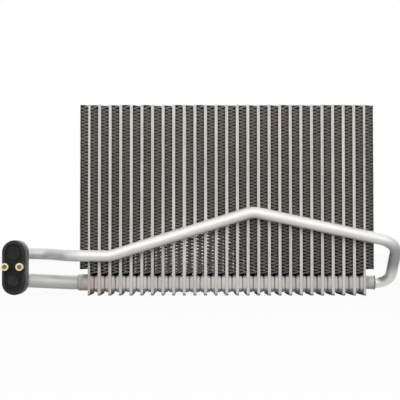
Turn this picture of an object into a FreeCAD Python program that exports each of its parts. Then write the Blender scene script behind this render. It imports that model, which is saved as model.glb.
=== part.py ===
import FreeCAD, Part
import Sketcher
import math
import os

# Evaporator core of the drawn-cup plate kind, in millimetres.
# X runs to the right along the stack of tubes, Y runs back through the core, Z is up.
# The origin is under the middle of the whole part, level with the feet of the plates.

Vector = FreeCAD.Vector

# Driving sizes: name, value and what the value measures.
SIZES = [
    ("tube_count", 27, "plate tubes in the stack"),
    ("tube_pitch", 11.66, "distance between neighbouring tubes"),
    ("tube_thickness", 3.4, "thickness of a brazed pair of plates"),
    ("end_skin", 0.85, "outer half of an end tube, a flat plate"),
    ("tube_height", 210, "height of a plate"),
    ("core_depth", 65, "depth of plates and fins, front to back"),
    ("cup_bottom", 3.8, "height of the underside of the header cups"),
    ("cup_height", 18.4, "height of a header cup at its root"),
    ("cup_inset", 1.8, "distance from a plate's edge to its cup"),
    ("cup_row_gap", 4, "space between the front and rear header rows"),
    ("cup_corner", 4.6, "bevel at the outer corners of a cup"),
    ("cup_draft", 13, "draft of the drawn cup wall, in degrees"),
    ("fin_folds", 12, "full folds in one air fin"),
    ("fin_crest", 0.5, "thickness of the folded sheet across a crest"),
    ("top_leg_rise", 1.85, "rise of a fin's flat last leg"),
    ("top_leg_sheet", 0.4, "thickness of the sheet in a fin's last leg"),
    ("fin_top_drop", 0.5, "distance of the fins below the plates' top"),
    ("fin_foot", 24.75, "height of the lower end of an inner fin"),
    ("end_fin_foot", 28.8, "height of the lower end of an outer fin"),
    ("braze_gap", 0.1, "clearance between a fin's crests and a plate"),
    ("side_sheet", 0.8, "thickness of a side plate"),
    ("crest_sink", 0.2, "depth of the outer crests in a side plate"),
    ("suction_od", 16, "outer diameter of the suction pipe"),
    ("liquid_od", 12.7, "outer diameter of the liquid pipe"),
    ("suction_collar_od", 18.5, "outer diameter of the left collar"),
    ("liquid_collar_od", 15.1, "outer diameter of the right collar"),
    ("suction_collar_length", 14, "length of the left collar"),
    ("liquid_collar_length", 16.6, "length of the right collar"),
    ("collar_seat", 10, "depth of a pipe's seat in its collar"),
    ("pipe_fit", 0.1, "clearance round a pipe in its seat"),
    ("pipe_end_gap", 0.3, "space beyond a pipe's end in its seat"),
    ("block_width", 26.4, "width of the connection block"),
    ("block_height", 60.4, "height of the connection block"),
    ("block_thickness", 22, "thickness of the connection block"),
    ("block_lift", 0.3, "height of the block's underside"),
    ("block_setback", 6, "distance of the block's face behind the core's face"),
    ("port_spacing", 30.4, "distance between the two ports"),
    ("port_rise", 0.4, "height of the ports' middle above the block's"),
    ("socket_depth", 7, "depth of the pipe sockets in the block"),
    ("cap_inset", 0.6, "margin of the block round the cap"),
    ("cap_floor", 5.5, "thickness of the cap's floor"),
    ("rim_height", 2.5, "height of the cap's rim above its floor"),
    ("rim_width", 3.6, "width of the cap's rim"),
    ("pad_od", 14, "diameter of the cap's pad over the upper port"),
    ("pad_height", 1.2, "height of the cap's pad over the upper port"),
    ("boss_od", 12, "diameter of the cap's boss over the lower port"),
    ("boss_height", 2, "height of the cap's boss over the lower port"),
    ("screw_spacing", 16, "distance between the two screws"),
    ("screw_rise", 1, "height of the screws above the block's middle"),
    ("screw_od", 5, "diameter of a screw's shank"),
    ("screw_head_od", 8.5, "diameter of a screw's head"),
    ("screw_head_height", 5, "height of a screw's head"),
    ("key_flats", 4, "width across flats of a screw's socket"),
    ("key_depth", 2.5, "depth of a screw's socket"),
    ("screw_standoff", 11.8, "distance from the cap's rim to a head's face"),
    ("screw_grip", 12, "length of shank inside the block"),
    ("screw_fit", 0.15, "clearance round a shank and beyond its end"),
    ("front_clear", 1.3, "space between the core and the crossing pipe"),
    ("port_run", 35.7, "distance from the ports' axis to the dogleg"),
    ("dogleg_span", 26, "sideways reach of the dogleg"),
    ("dogleg_clear", 10.8, "distance from the side plate to the dogleg's front corner"),
    ("dogleg_height", 45, "height of the dogleg's rear corner"),
    ("foot_run", 44.9, "distance from the dogleg's front corner to the chevron's foot"),
    ("chevron_height", 44.3, "height of the chevron's foot"),
    ("chevron_peak", 28.2, "peak of the chevron, right of the core's middle"),
    ("peak_height", 92.3, "height of the chevron's peak"),
    ("turn_height", 58.4, "height of the right turn's upper corner"),
    ("turn_run", 0.5, "straight run between the right collar and its bend"),
    ("liquid_elbow", 15, "bend radius of the liquid pipe at the block"),
    ("suction_elbow", 18, "bend radius of the suction pipe at the block"),
    ("dogleg_bend", 16, "bend radius of the dogleg"),
    ("foot_bend", 34, "bend radius at the chevron's foot"),
    ("peak_bend", 26, "bend radius at the chevron's peak"),
    ("turn_bend", 21, "bend radius at the right turn's upper corner"),
    ("return_bend", 16.3, "bend radius where the pipe meets its collar"),
    ("bend_step", 15, "turn between two chords of a bend, in degrees"),
    ("pipe_flats", 20, "flats that stand for the round of a pipe's section"),
]

# Lengths that several pieces share, as expressions on the driving sizes.
CUP_DEPTH = "((Sizes.core_depth - Sizes.cup_row_gap) / 2 - Sizes.cup_inset)"
REAR_ROW = "(Sizes.core_depth - Sizes.cup_inset - %s / 2)" % CUP_DEPTH
CUP_MIDDLE = "(Sizes.cup_bottom + Sizes.cup_height / 2)"
AIR_GAP = "(Sizes.tube_pitch - Sizes.tube_thickness)"
CREST = "(%s / 2 - Sizes.braze_gap)" % AIR_GAP
LAST_TUBE = "((Sizes.tube_count - 1) / 2 * Sizes.tube_pitch)"
END_FIN = "(%s + Sizes.end_skin + %s / 2)" % (LAST_TUBE, AIR_GAP)
SIDE_FACE = "(%s + %s - Sizes.crest_sink + Sizes.side_sheet)" % (END_FIN, CREST)
COLLAR_LIP = "(%s + Sizes.end_skin + Sizes.%%s_collar_length)" % LAST_TUBE
PIPE_END = "(%s - Sizes.collar_seat + Sizes.pipe_end_gap)" % COLLAR_LIP
DOGLEG_END = "(%s + Sizes.dogleg_clear)" % SIDE_FACE
DOGLEG_START = "(%s + Sizes.dogleg_span)" % DOGLEG_END
BLOCK_REACH = "(%s + Sizes.port_run)" % DOGLEG_START
TURN_REACH = "(%s + Sizes.turn_run + Sizes.return_bend)" % (COLLAR_LIP % "liquid")
LEFT_REACH = "(%s + Sizes.block_width / 2)" % BLOCK_REACH
RIGHT_REACH = "(%s + Sizes.liquid_od / 2)" % TURN_REACH
FRONT_REACH = "(Sizes.front_clear + Sizes.liquid_od)"
CORE_X = "((%s - %s) / 2)" % (LEFT_REACH, RIGHT_REACH)
CORE_Y = "((%s - Sizes.core_depth) / 2)" % FRONT_REACH
BLOCK_X = "(%s - %s)" % (CORE_X, BLOCK_REACH)
BLOCK_Y = "(%s + Sizes.block_setback)" % CORE_Y
BLOCK_Z = "(Sizes.block_lift + Sizes.block_height / 2)"
CAP_HEIGHT = "(Sizes.cap_floor + Sizes.rim_height)"
UPPER_PORT = "(Sizes.port_rise + Sizes.port_spacing / 2)"
LOWER_PORT = "(Sizes.port_rise - Sizes.port_spacing / 2)"
SOCKET_END = "(Sizes.block_setback + Sizes.block_thickness - Sizes.socket_depth + Sizes.pipe_end_gap)"


def make_sheet(doc):
    """Write the driving sizes into a spreadsheet, one alias for each."""
    sheet = doc.addObject("Spreadsheet::Sheet", "Sizes")
    for row, (name, value, note) in enumerate(SIZES, start=1):
        sheet.set("A%d" % row, name)
        sheet.set("B%d" % row, str(value))
        sheet.set("C%d" % row, note)
        sheet.setAlias("B%d" % row, name)
    doc.recompute()


def place(item, x, y, z):
    """Bind an object's position to three expressions."""
    item.setExpression("Placement.Base.x", x)
    item.setExpression("Placement.Base.y", y)
    item.setExpression("Placement.Base.z", z)


def new_body(doc, label):
    body = doc.addObject("PartDesign::Body", label)
    body.Label = label
    return body


def new_sketch(body, name, role, shift=None):
    """Lay a sketch on one of the body's own origin planes, shifted by expressions if given."""
    sketch = body.newObject("Sketcher::SketchObject", name)
    plane = [item for item in body.Origin.OriginFeatures if item.Role == role][0]
    sketch.AttachmentSupport = [(plane, "")]
    sketch.MapMode = "FlatFace"
    for axis, expression in (shift or {}).items():
        sketch.setExpression("AttachmentOffset.Base.%s" % axis, expression)
    return sketch


def pin(sketch, geometry, point, x, y):
    """Tie a point of the sketch to two expressions, measured from the sketch's origin."""
    for kind, expression in (("DistanceX", x), ("DistanceY", y)):
        value = float(sketch.evalExpression(expression))
        index = sketch.addConstraint(Sketcher.Constraint(kind, -1, 1, geometry, point, value))
        sketch.setExpression("Constraints[%d]" % index, expression)


def locate(sketch, x, y):
    """Return the point that two expressions give."""
    return Vector(float(sketch.evalExpression(x)), float(sketch.evalExpression(y)), 0)


def draw_outline(sketch, corners):
    """Draw a closed outline through corners, each a pair of expressions."""
    spots = [locate(sketch, x, y) for x, y in corners]
    first = sketch.GeometryCount
    count = len(spots)
    for i in range(count):
        sketch.addGeometry(Part.LineSegment(spots[i], spots[(i + 1) % count]))
    for i in range(count):
        following = first + (i + 1) % count
        sketch.addConstraint(Sketcher.Constraint("Coincident", first + i, 2, following, 1))
    for i, (x, y) in enumerate(corners):
        pin(sketch, first + i, 1, x, y)


def draw_circle(sketch, x, y, diameter):
    """Draw a circle whose centre and diameter are expressions."""
    centre = locate(sketch, x, y)
    size = float(sketch.evalExpression(diameter))
    circle = sketch.addGeometry(Part.Circle(centre, Vector(0, 0, 1), size / 2))
    pin(sketch, circle, 3, x, y)
    index = sketch.addConstraint(Sketcher.Constraint("Diameter", circle, size))
    sketch.setExpression("Constraints[%d]" % index, diameter)


def draw_stadium(sketch, width, height):
    """Draw a slot shape of full width and height, centred on the sketch's origin."""
    radius = float(sketch.evalExpression(width)) / 2
    rise = float(sketch.evalExpression(height)) / 2 - radius
    up = Vector(0, 0, 1)
    right = sketch.addGeometry(Part.LineSegment(Vector(radius, -rise, 0), Vector(radius, rise, 0)))
    circle = Part.Circle(Vector(0, rise, 0), up, radius)
    top = sketch.addGeometry(Part.ArcOfCircle(circle, 0, math.pi))
    left = sketch.addGeometry(Part.LineSegment(Vector(-radius, rise, 0), Vector(-radius, -rise, 0)))
    circle = Part.Circle(Vector(0, -rise, 0), up, radius)
    foot = sketch.addGeometry(Part.ArcOfCircle(circle, math.pi, 2 * math.pi))
    around = [right, top, left, foot]
    for line, following in zip(around, around[1:] + around[:1]):
        sketch.addConstraint(Sketcher.Constraint("Tangent", line, 2, following, 1))
    pin(sketch, top, 3, "0", "(%s - %s) / 2" % (height, width))
    pin(sketch, foot, 3, "0", "(%s - %s) / 2" % (width, height))
    index = sketch.addConstraint(Sketcher.Constraint("Radius", top, radius))
    sketch.setExpression("Constraints[%d]" % index, "%s / 2" % width)


def pad(body, name, sketch, length, reverse=False):
    feature = body.newObject("PartDesign::Pad", name)
    feature.Profile = sketch
    feature.Reversed = reverse
    feature.setExpression("Length", length)
    return feature


def pocket(body, name, sketch, length, reverse=False):
    feature = body.newObject("PartDesign::Pocket", name)
    feature.Profile = sketch
    feature.Reversed = reverse
    feature.setExpression("Length", length)
    return feature


def draw_cups(sketch):
    """Draw the front and rear header cups, bevelled at their outer corners."""
    low = "Sizes.cup_bottom"
    high = "Sizes.cup_bottom + Sizes.cup_height"
    for edge, sign in (("Sizes.cup_inset", "+"), ("Sizes.core_depth - Sizes.cup_inset", "-")):
        inner = "%s %s %s" % (edge, sign, CUP_DEPTH)
        bevel = "%s %s Sizes.cup_corner" % (edge, sign)
        corners = [
            (inner, low),
            (bevel, low),
            (edge, low + " + Sizes.cup_corner"),
            (edge, high + " - Sizes.cup_corner"),
            (bevel, high),
            (inner, high),
        ]
        draw_outline(sketch, corners)


def draw_plate(sketch, left, right):
    """Draw the section of a plate pair, seen from above."""
    depth = "Sizes.core_depth"
    draw_outline(sketch, [(left, "0"), (right, "0"), (right, depth), (left, depth)])


def make_inner_tube(doc):
    """A pair of pressed plates with two drawn cups at the foot of each side."""
    body = new_body(doc, "inner_tube")
    section = new_sketch(body, "plate_section", "XY_Plane")
    draw_plate(section, "-Sizes.tube_thickness / 2", "Sizes.tube_thickness / 2")
    pad(body, "plate_pair", section, "Sizes.tube_height")
    outline = new_sketch(body, "cup_outline", "YZ_Plane")
    draw_cups(outline)
    cups = pad(body, "cups", outline, "Sizes.tube_pitch")
    cups.SideType = "Symmetric"
    doc.recompute()
    draft_cups(body, cups, 1)
    draft_cups(body, body.Tip, -1)
    return body


def draft_cups(body, base, side):
    """Slope the walls of the cups on one side of the tube, as a drawn cup's walls do."""
    sheet = body.Document.Sizes
    walls = []
    for i, face in enumerate(base.Shape.Faces):
        centre = face.CenterOfMass
        upright = abs(face.normalAt(0, 0).x) < 0.5
        if upright and side * centre.x > sheet.tube_thickness / 2 and centre.z < sheet.fin_foot:
            walls.append("Face%d" % (i + 1))
    draft = body.newObject("PartDesign::Draft", "drawn_wall")
    draft.Base = (base, walls)
    middle = [item for item in body.Origin.OriginFeatures if item.Role == "YZ_Plane"][0]
    draft.NeutralPlane = (middle, [""])
    draft.Reversed = side < 0
    draft.setExpression("Angle", "Sizes.cup_draft")
    body.Document.recompute()


def make_end_tube(doc, label, side, pipe):
    """An end tube: cups on its inner side, a flat outer plate and a collar for the pipe."""
    body = new_body(doc, label)
    sign = "-" if side < 0 else ""
    inner = "%sSizes.tube_thickness / 2" % ("" if side < 0 else "-")
    outer = sign + "Sizes.end_skin"
    section = new_sketch(body, "plate_section", "XY_Plane")
    left, right = (outer, inner) if side < 0 else (inner, outer)
    draw_plate(section, left, right)
    pad(body, "plate_pair", section, "Sizes.tube_height")
    outline = new_sketch(body, "cup_outline", "YZ_Plane")
    draw_cups(outline)
    cups = pad(body, "cups", outline, "Sizes.tube_pitch / 2", reverse=side > 0)
    doc.recompute()
    draft_cups(body, cups, -side)
    add_collar(body, sign, pipe)
    return body


def add_collar(body, sign, pipe):
    """Turn the collar about the rear header's axis, with a blind seat for the pipe."""
    profile = new_sketch(body, "collar_profile", "XZ_Plane", {"y": CUP_MIDDLE, "z": "-" + REAR_ROW})
    lip = "%s(Sizes.end_skin + Sizes.%s_collar_length)" % (sign, pipe)
    seat = "%s(Sizes.end_skin + Sizes.%s_collar_length - Sizes.collar_seat)" % (sign, pipe)
    root = sign + "(Sizes.end_skin / 2)"
    bore = "Sizes.%s_od / 2 + Sizes.pipe_fit" % pipe
    wall = "Sizes.%s_collar_od / 2" % pipe
    draw_outline(profile, [(root, "0"), (root, wall), (lip, wall), (lip, bore), (seat, bore), (seat, "0")])
    collar = body.newObject("PartDesign::Revolution", "collar")
    collar.Profile = profile
    collar.ReferenceAxis = (profile, ["H_Axis"])
    collar.Angle = 360


def make_fin(doc, label, foot, plate_side=0):
    """A folded air fin: one fold repeated up the core, with a flat last leg and perhaps a side plate."""
    body = new_body(doc, label)
    height = "(Sizes.tube_height - Sizes.fin_top_drop - %s)" % foot
    leg = "((%s - Sizes.top_leg_rise) / (2 * Sizes.fin_folds - 1))" % height
    fold = new_sketch(body, "fold", "XZ_Plane")
    corners = [
        ("-" + CREST, "0"),
        (CREST + " - Sizes.fin_crest", leg),
        ("-" + CREST, "2 * " + leg),
        ("-" + CREST + " + Sizes.fin_crest", "2 * " + leg),
        (CREST, leg),
        ("-" + CREST + " + Sizes.fin_crest", "0"),
    ]
    draw_outline(fold, corners)
    sheet = pad(body, "fold_sheet", fold, "Sizes.core_depth", reverse=True)
    repeat = body.newObject("PartDesign::LinearPattern", "folds")
    repeat.Originals = [sheet]
    repeat.Direction = (fold, ["V_Axis"])
    repeat.setExpression("Length", "(2 * Sizes.fin_folds - 4) * " + leg)
    repeat.setExpression("Occurrences", "Sizes.fin_folds - 1")
    body.Tip = repeat
    add_top_fold(body, height, leg)
    if plate_side:
        sign = "-" if plate_side < 0 else ""
        near = "%s(%s - Sizes.crest_sink)" % (sign, CREST)
        far = "%s(%s - Sizes.crest_sink + Sizes.side_sheet)" % (sign, CREST)
        left, right = (far, near) if plate_side < 0 else (near, far)
        edge = new_sketch(body, "side_plate_edge", "XZ_Plane")
        draw_outline(edge, [(left, "0"), (right, "0"), (right, height), (left, height)])
        pad(body, "side_plate", edge, "Sizes.core_depth", reverse=True)
    return body


def add_top_fold(body, height, leg):
    """Close a fin with one more steep leg and a last one as flat as the real sheet's."""
    low = "(2 * Sizes.fin_folds - 2) * " + leg
    turn = "(2 * Sizes.fin_folds - 1) * " + leg
    fold = new_sketch(body, "top_fold", "XZ_Plane")
    corners = [
        ("-" + CREST, low),
        (CREST + " - Sizes.fin_crest", turn),
        ("-" + CREST, height + " - Sizes.top_leg_sheet"),
        ("-" + CREST, height),
        (CREST, turn + " + Sizes.top_leg_sheet"),
        (CREST, turn),
        ("-" + CREST + " + Sizes.fin_crest", low),
    ]
    draw_outline(fold, corners)
    pad(body, "top_fold_sheet", fold, "Sizes.core_depth", reverse=True)


def link_to(doc, label, source):
    link = doc.addObject("App::Link", label)
    link.LinkedObject = source
    link.Label = label
    return link


def make_tubes(doc):
    """Stand the tubes in a row, end tubes first and last."""
    count = int(doc.Sizes.tube_count)
    inner = make_inner_tube(doc)
    parts = []
    for i in range(count):
        label = "tube_%02d" % (i + 1)
        if i == 0:
            tube = make_end_tube(doc, label, -1, "suction")
        elif i == count - 1:
            tube = make_end_tube(doc, label, 1, "liquid")
        else:
            tube = link_to(doc, label, inner)
        place(tube, "%s - %s + %d * Sizes.tube_pitch" % (CORE_X, LAST_TUBE, i), CORE_Y, "0")
        parts.append(tube)
    return parts


def make_fins(doc):
    """Put a fin between each pair of tubes and one outside each end tube."""
    count = int(doc.Sizes.tube_count) + 1
    inner = make_fin(doc, "inner_fin", "Sizes.fin_foot")
    parts = []
    for i in range(count):
        label = "fin_%02d" % (i + 1)
        if i == 0:
            fin = make_fin(doc, label, "Sizes.end_fin_foot", -1)
            place(fin, "%s - %s" % (CORE_X, END_FIN), CORE_Y, "Sizes.end_fin_foot")
        elif i == count - 1:
            fin = make_fin(doc, label, "Sizes.end_fin_foot", 1)
            place(fin, "%s + %s" % (CORE_X, END_FIN), CORE_Y, "Sizes.end_fin_foot")
        else:
            fin = link_to(doc, label, inner)
            middle = "%s - %s + (%d - 0.5) * Sizes.tube_pitch" % (CORE_X, LAST_TUBE, i)
            place(fin, middle, CORE_Y, "Sizes.fin_foot")
        parts.append(fin)
    return parts


def bend_points(before, point, after, radius, step):
    """Return points round a bend: the corners of an even run of chords that touch its arc."""
    back = (before - point).normalize()
    ahead = (after - point).normalize()
    turn = math.pi - back.getAngle(ahead)
    axis = ahead.cross(back).normalize()
    centre = point + (back + ahead).normalize() * (radius / math.cos(turn / 2))
    chords = math.ceil(turn / math.radians(step))
    share = turn / chords
    first = point + back * (radius * math.tan(turn / 2)) - centre
    corner = first / math.cos(share / 2)
    points = []
    for i in range(chords):
        swing = FreeCAD.Rotation(axis, math.degrees(share * (i + 0.5)))
        points.append(centre + swing.multVec(corner))
    return points


def bent_wire(corners, step):
    """Lead a line along corners, each a point and its bend radius, round every bend."""
    points = [corners[0][0]]
    for i in range(1, len(corners) - 1):
        point, radius = corners[i]
        points += bend_points(corners[i - 1][0], point, corners[i + 1][0], radius, step)
    points.append(corners[-1][0])
    return Part.makePolygon(points)


def liquid_route():
    """Corners of the crossing pipe: forward out of the block, over the chevron, back to the header."""
    front = "-(Sizes.front_clear + Sizes.liquid_od / 2)"
    port = "(%s + %s)" % (BLOCK_Z, UPPER_PORT)
    return [
        ("-" + BLOCK_REACH, SOCKET_END, port, None),
        ("-" + BLOCK_REACH, REAR_ROW, port, "liquid_elbow"),
        ("-" + DOGLEG_START, REAR_ROW, "Sizes.dogleg_height", "dogleg_bend"),
        ("-" + DOGLEG_END, front, "Sizes.chevron_height", "dogleg_bend"),
        ("Sizes.foot_run - " + DOGLEG_END, front, "Sizes.chevron_height", "foot_bend"),
        ("Sizes.chevron_peak", front, "Sizes.peak_height", "peak_bend"),
        (TURN_REACH, front, "Sizes.turn_height", "turn_bend"),
        (TURN_REACH, REAR_ROW, CUP_MIDDLE, "return_bend"),
        (PIPE_END % "liquid", REAR_ROW, CUP_MIDDLE, None),
    ]


def suction_route():
    """Corners of the suction pipe: out of the block and along into the left end of the header."""
    lip = COLLAR_LIP % "suction"
    port = "(%s + %s)" % (BLOCK_Z, LOWER_PORT)
    return [
        ("-" + BLOCK_REACH, SOCKET_END, port, None),
        ("-" + BLOCK_REACH, REAR_ROW, port, "suction_elbow"),
        ("-(%s + Sizes.suction_od / 2)" % lip, REAR_ROW, CUP_MIDDLE, "suction_elbow"),
        ("-" + PIPE_END % "suction", REAR_ROW, CUP_MIDDLE, None),
    ]


def make_pipe(doc, label, route, diameter):
    """Sweep a section of many flats along a route of straight runs and bends."""
    spine = doc.addObject("Part::Feature", label + "_line")
    corners = []
    for x, y, z, bend in route:
        point = Vector(*[float(spine.evalExpression(term)) for term in (x, y, z)])
        corners.append((point, float(getattr(doc.Sizes, bend)) if bend else 0))
    spine.Shape = bent_wire(corners, float(doc.Sizes.bend_step))
    section = doc.addObject("Part::RegularPolygon", label + "_section")
    section.setExpression("Polygon", "Sizes.pipe_flats")
    section.setExpression("Circumradius", diameter + " / 2")
    start, heading = corners[0][0], corners[1][0] - corners[0][0]
    section.Placement = FreeCAD.Placement(start, FreeCAD.Rotation(Vector(0, 0, 1), heading))
    pipe = doc.addObject("Part::Sweep", label)
    pipe.Label = label
    pipe.Sections = [section]
    pipe.Spine = (spine, ["Edge%d" % (i + 1) for i in range(len(spine.Shape.Edges))])
    pipe.Solid = True
    pipe.Transition = "Right corner"
    place(pipe, CORE_X, CORE_Y, "0")
    return pipe


def make_block(doc):
    """The machined connection block: two pipe sockets behind, two tapped holes in front."""
    body = new_body(doc, "connection_block")
    outline = new_sketch(body, "outline", "XZ_Plane")
    draw_stadium(outline, "Sizes.block_width", "Sizes.block_height")
    pad(body, "slab", outline, "Sizes.block_thickness", reverse=True)
    sockets = new_sketch(body, "sockets", "XZ_Plane", {"z": "-Sizes.block_thickness"})
    draw_circle(sockets, "0", UPPER_PORT, "Sizes.liquid_od + 2 * Sizes.pipe_fit")
    draw_circle(sockets, "0", LOWER_PORT, "Sizes.suction_od + 2 * Sizes.pipe_fit")
    pocket(body, "pipe_sockets", sockets, "Sizes.socket_depth", reverse=True)
    holes = new_sketch(body, "holes", "XZ_Plane")
    draw_screw_holes(holes)
    pocket(body, "tapped_holes", holes, "Sizes.screw_grip + Sizes.screw_fit")
    place(body, BLOCK_X, BLOCK_Y, BLOCK_Z)
    return body


def draw_screw_holes(sketch):
    bore = "Sizes.screw_od + 2 * Sizes.screw_fit"
    draw_circle(sketch, "-Sizes.screw_spacing / 2", "Sizes.screw_rise", bore)
    draw_circle(sketch, "Sizes.screw_spacing / 2", "Sizes.screw_rise", bore)


def make_cap(doc):
    """The moulded transport cap: a rimmed dish with a low pad over one port and a boss over the other."""
    body = new_body(doc, "transport_cap")
    width = "(Sizes.block_width - 2 * Sizes.cap_inset)"
    height = "(Sizes.block_height - 2 * Sizes.cap_inset)"
    outline = new_sketch(body, "outline", "XZ_Plane")
    draw_stadium(outline, width, height)
    pad(body, "dish", outline, CAP_HEIGHT)
    recess = new_sketch(body, "recess_outline", "XZ_Plane", {"z": CAP_HEIGHT})
    draw_stadium(recess, "(%s - 2 * Sizes.rim_width)" % width, "(%s - 2 * Sizes.rim_width)" % height)
    pocket(body, "recess", recess, "Sizes.rim_height")
    disc = new_sketch(body, "pad_outline", "XZ_Plane", {"z": "Sizes.cap_floor"})
    draw_circle(disc, "0", UPPER_PORT, "Sizes.pad_od")
    pad(body, "upper_pad", disc, "Sizes.pad_height")
    boss = new_sketch(body, "boss_outline", "XZ_Plane", {"z": "Sizes.cap_floor"})
    draw_circle(boss, "0", LOWER_PORT, "Sizes.boss_od")
    pad(body, "lower_boss", boss, "Sizes.boss_height")
    holes = new_sketch(body, "holes", "XZ_Plane", {"z": CAP_HEIGHT})
    draw_screw_holes(holes)
    pocket(body, "screw_holes", holes, CAP_HEIGHT)
    place(body, BLOCK_X, BLOCK_Y, BLOCK_Z)
    return body


def make_screws(doc):
    """Two socket-head screws through the cap into the block, standing proud of the cap."""
    body = new_body(doc, "screw")
    head_face = "(%s + Sizes.screw_standoff)" % CAP_HEIGHT
    head_seat = "(%s - Sizes.screw_head_height)" % head_face
    profile = new_sketch(body, "profile", "XZ_Plane")
    rod = "Sizes.screw_od / 2"
    rim = "Sizes.screw_head_od / 2"
    end = "-Sizes.screw_grip"
    shank = [("0", end), (rod, end), (rod, head_seat)]
    head = [(rim, head_seat), (rim, head_face), ("0", head_face)]
    draw_outline(profile, shank + head)
    turned = body.newObject("PartDesign::Revolution", "turned_screw")
    turned.Profile = profile
    turned.ReferenceAxis = (profile, ["V_Axis"])
    turned.Angle = 360
    key = new_sketch(body, "key_outline", "XY_Plane", {"z": head_face})
    draw_key(key)
    pocket(body, "key_socket", key, "Sizes.key_depth")
    pair = []
    for name, sign in (("left", "-"), ("right", "")):
        screw = link_to(doc, "%s_screw" % name, body)
        screw.Placement = FreeCAD.Placement(Vector(0, 0, 0), FreeCAD.Rotation(Vector(1, 0, 0), 90))
        place(screw, "%sSizes.screw_spacing / 2" % sign, "0", "Sizes.screw_rise")
        pair.append(screw)
    screws = doc.addObject("Part::Compound", "cap_screws")
    screws.Label = "cap_screws"
    screws.Links = pair
    place(screws, BLOCK_X, BLOCK_Y, BLOCK_Z)
    return screws


def draw_key(sketch):
    """Draw the hexagon of a screw's socket by its width across flats."""
    reach = "Sizes.key_flats / sqrt(3)"
    corners = []
    for turn in range(0, 360, 60):
        corners.append(("%s * cos(%d deg)" % (reach, turn), "%s * sin(%d deg)" % (reach, turn)))
    draw_outline(sketch, corners)


def check(doc, parts):
    """Stop if any object failed or any piece is empty or broken."""
    for item in doc.Objects:
        if "Invalid" in item.State or "Error" in item.State:
            raise RuntimeError("%s failed: %s" % (item.Label, item.State))
    for item in parts:
        if item.Shape.isNull() or not item.Shape.isValid():
            raise RuntimeError("%s has no valid shape" % item.Label)


def export(parts):
    os.makedirs("parts", exist_ok=True)
    for item in parts:
        item.Shape.exportStep("parts/%s.step" % item.Label)


def main():
    doc = FreeCAD.newDocument("evaporator_core")
    make_sheet(doc)
    parts = make_tubes(doc) + make_fins(doc)
    parts.append(make_pipe(doc, "liquid_pipe", liquid_route(), "Sizes.liquid_od"))
    parts.append(make_pipe(doc, "suction_pipe", suction_route(), "Sizes.suction_od"))
    parts.append(make_block(doc))
    parts.append(make_cap(doc))
    parts.append(make_screws(doc))
    doc.recompute()
    check(doc, parts)
    export(parts)
    for item in parts:
        print(item.Label, len(item.Shape.Solids), round(item.Shape.Volume, 1))


main()
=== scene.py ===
# %% [markdown]
# # An evaporator core, finished by hand
# The core is a stack of flat aluminium plate tubes with folded air fins between them. It stands on two
# rows of drawn header cups, a thin liquid pipe crosses its front, and a short suction pipe leaves its left
# end. Both pipes end in a small block under a black transport cap.
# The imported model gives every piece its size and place. The new pieces are modelled right there, in metres.

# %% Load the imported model
import math

import bmesh
import bpy
import numpy as np
from mathutils import Matrix, Vector


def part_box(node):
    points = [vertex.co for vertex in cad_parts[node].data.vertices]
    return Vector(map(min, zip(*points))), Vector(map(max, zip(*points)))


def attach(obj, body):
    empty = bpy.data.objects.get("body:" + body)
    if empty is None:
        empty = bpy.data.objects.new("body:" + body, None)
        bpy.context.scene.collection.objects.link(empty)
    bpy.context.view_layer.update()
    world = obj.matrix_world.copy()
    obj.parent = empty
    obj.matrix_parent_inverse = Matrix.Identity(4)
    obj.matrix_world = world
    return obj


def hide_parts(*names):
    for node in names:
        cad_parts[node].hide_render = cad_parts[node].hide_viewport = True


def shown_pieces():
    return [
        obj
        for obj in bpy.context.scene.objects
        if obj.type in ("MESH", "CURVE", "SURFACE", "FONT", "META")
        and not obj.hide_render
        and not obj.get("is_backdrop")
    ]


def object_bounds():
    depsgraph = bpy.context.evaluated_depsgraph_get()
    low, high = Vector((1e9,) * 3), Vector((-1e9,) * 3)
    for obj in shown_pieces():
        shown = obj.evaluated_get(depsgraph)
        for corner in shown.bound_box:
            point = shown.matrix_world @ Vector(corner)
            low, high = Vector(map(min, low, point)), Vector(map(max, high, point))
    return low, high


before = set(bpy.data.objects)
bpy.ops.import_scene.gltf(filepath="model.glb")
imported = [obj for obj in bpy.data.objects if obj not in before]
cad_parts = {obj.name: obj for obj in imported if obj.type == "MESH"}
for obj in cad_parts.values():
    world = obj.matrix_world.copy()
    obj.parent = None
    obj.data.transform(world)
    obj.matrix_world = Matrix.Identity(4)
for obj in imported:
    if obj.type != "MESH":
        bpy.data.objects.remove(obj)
CAD_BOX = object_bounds()
bpy.ops.object.select_all(action="DESELECT")
MM = 0.001
scene = bpy.context.scene
print("nodes:", len(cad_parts), "box:", CAD_BOX)

# %% [markdown]
# ## Places that every piece shares
# The boxes of two neighbouring tubes give the pitch, the front and back of the core and its top. The rest
# are real sizes of such a core, each with its own name.

# %% Read the shared places
second_low, second_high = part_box("tube_02")
third_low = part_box("tube_03")[0]
TUBES = 27
PITCH = third_low.x - second_low.x
FIRST_X = (second_low.x + second_high.x) / 2 - PITCH
TUBE_X = [FIRST_X + i * PITCH for i in range(TUBES)]
CORE_X = (TUBE_X[0] + TUBE_X[-1]) / 2
FRONT, BACK = second_low.y, second_high.y
MIDDLE_Y = (FRONT + BACK) / 2
FOOT, TOP = second_low.z, second_high.z
PLATE = 3.4 * MM
END_SKIN = 0.85 * MM
AIR_GAP = PITCH - PLATE
FIN_LOW, FIN_HIGH = (corner.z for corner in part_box("fin_02"))
END_FIN_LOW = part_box("fin_01")[0].z
print("pitch mm:", PITCH / MM, "core middle mm:", CORE_X / MM)

# %% [markdown]
# ## The camera comes first
# The photo was taken from about 1.35 m with a long lens, a little below the middle of the core. The inner
# faces of the plates' feet show which way each one is seen, and that gives the point straight ahead of it.

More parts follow.
